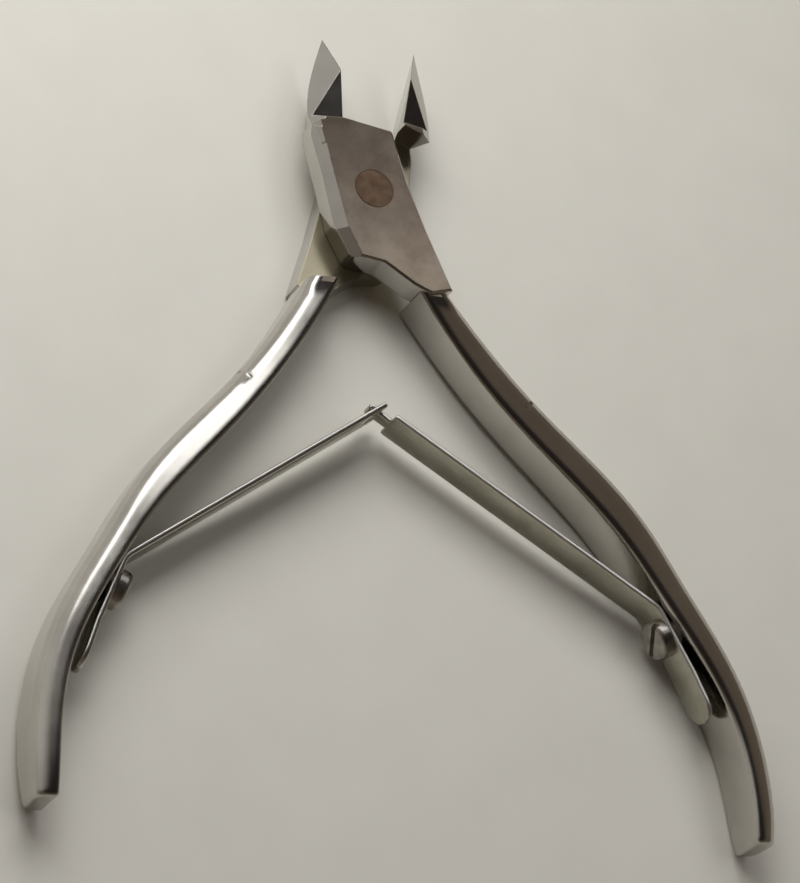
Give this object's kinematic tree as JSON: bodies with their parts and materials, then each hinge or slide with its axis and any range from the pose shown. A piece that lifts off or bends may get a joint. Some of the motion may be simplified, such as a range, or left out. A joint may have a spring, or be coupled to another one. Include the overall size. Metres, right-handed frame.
{
  "type": "cuticle nipper",
  "caption": "Cuticle nipper with a lap joint, a flush rivet, bowed handles and leaf springs hooked together at their ends.",
  "frame": {"origin": "on the pivot axis at the flush underside of the joint, which is the plane the tool lies on", "axes": "+Z along the pivot axis, up from the table; +Y from the pivot towards the jaws; the handles point along -Y"},
  "size_m": [0.093, 0.1012, 0.0076],
  "materials": {
    "forged_steel": "polished forging with ground flats",
    "rivet_steel": "ground flush",
    "spring_steel": "rolled and polished strip",
    "screw_steel": "turned and slotted"
  },
  "bodies": {
    "left_lever": {"left_handle_lever": "forged_steel", "pivot_rivet": "rivet_steel", "left_spring_screw": "screw_steel"},
    "right_lever": {"right_handle_lever": "forged_steel", "right_spring_screw": "screw_steel"},
    "right_leaf": {"right_leaf_spring": "spring_steel"},
    "left_leaf": {"left_leaf_spring": "spring_steel"}
  },
  "joints": [
    {"name": "jaw_pivot", "type": "hinge", "parent": "left_lever", "child": "right_lever", "pos_m": [0, 0, 0], "axis": [0, 0, 1], "range_deg": [-31.5, 0], "stiffness_Nm_per_rad": 0.5, "springref_deg": 20.05},
    {"name": "right_leaf_bend", "type": "hinge", "parent": "right_lever", "child": "right_leaf", "pos_m": [0.03425, -0.0506, 0.0038], "axis": [0, 0, 1], "range_deg": [-13, 0.5], "deforming": ["right_leaf_spring"]},
    {"name": "left_leaf_bend", "type": "hinge", "parent": "left_lever", "child": "left_leaf", "pos_m": [-0.03425, -0.0506, 0.0038], "axis": [0, 0, 1], "range_deg": [-0.5, 13], "deforming": ["left_leaf_spring"]}
  ],
  "couplings": [
    {"joint": "right_leaf_bend", "follows": "jaw_pivot", "ratio": 0.395},
    {"joint": "left_leaf_bend", "follows": "jaw_pivot", "ratio": -0.395}
  ]
}
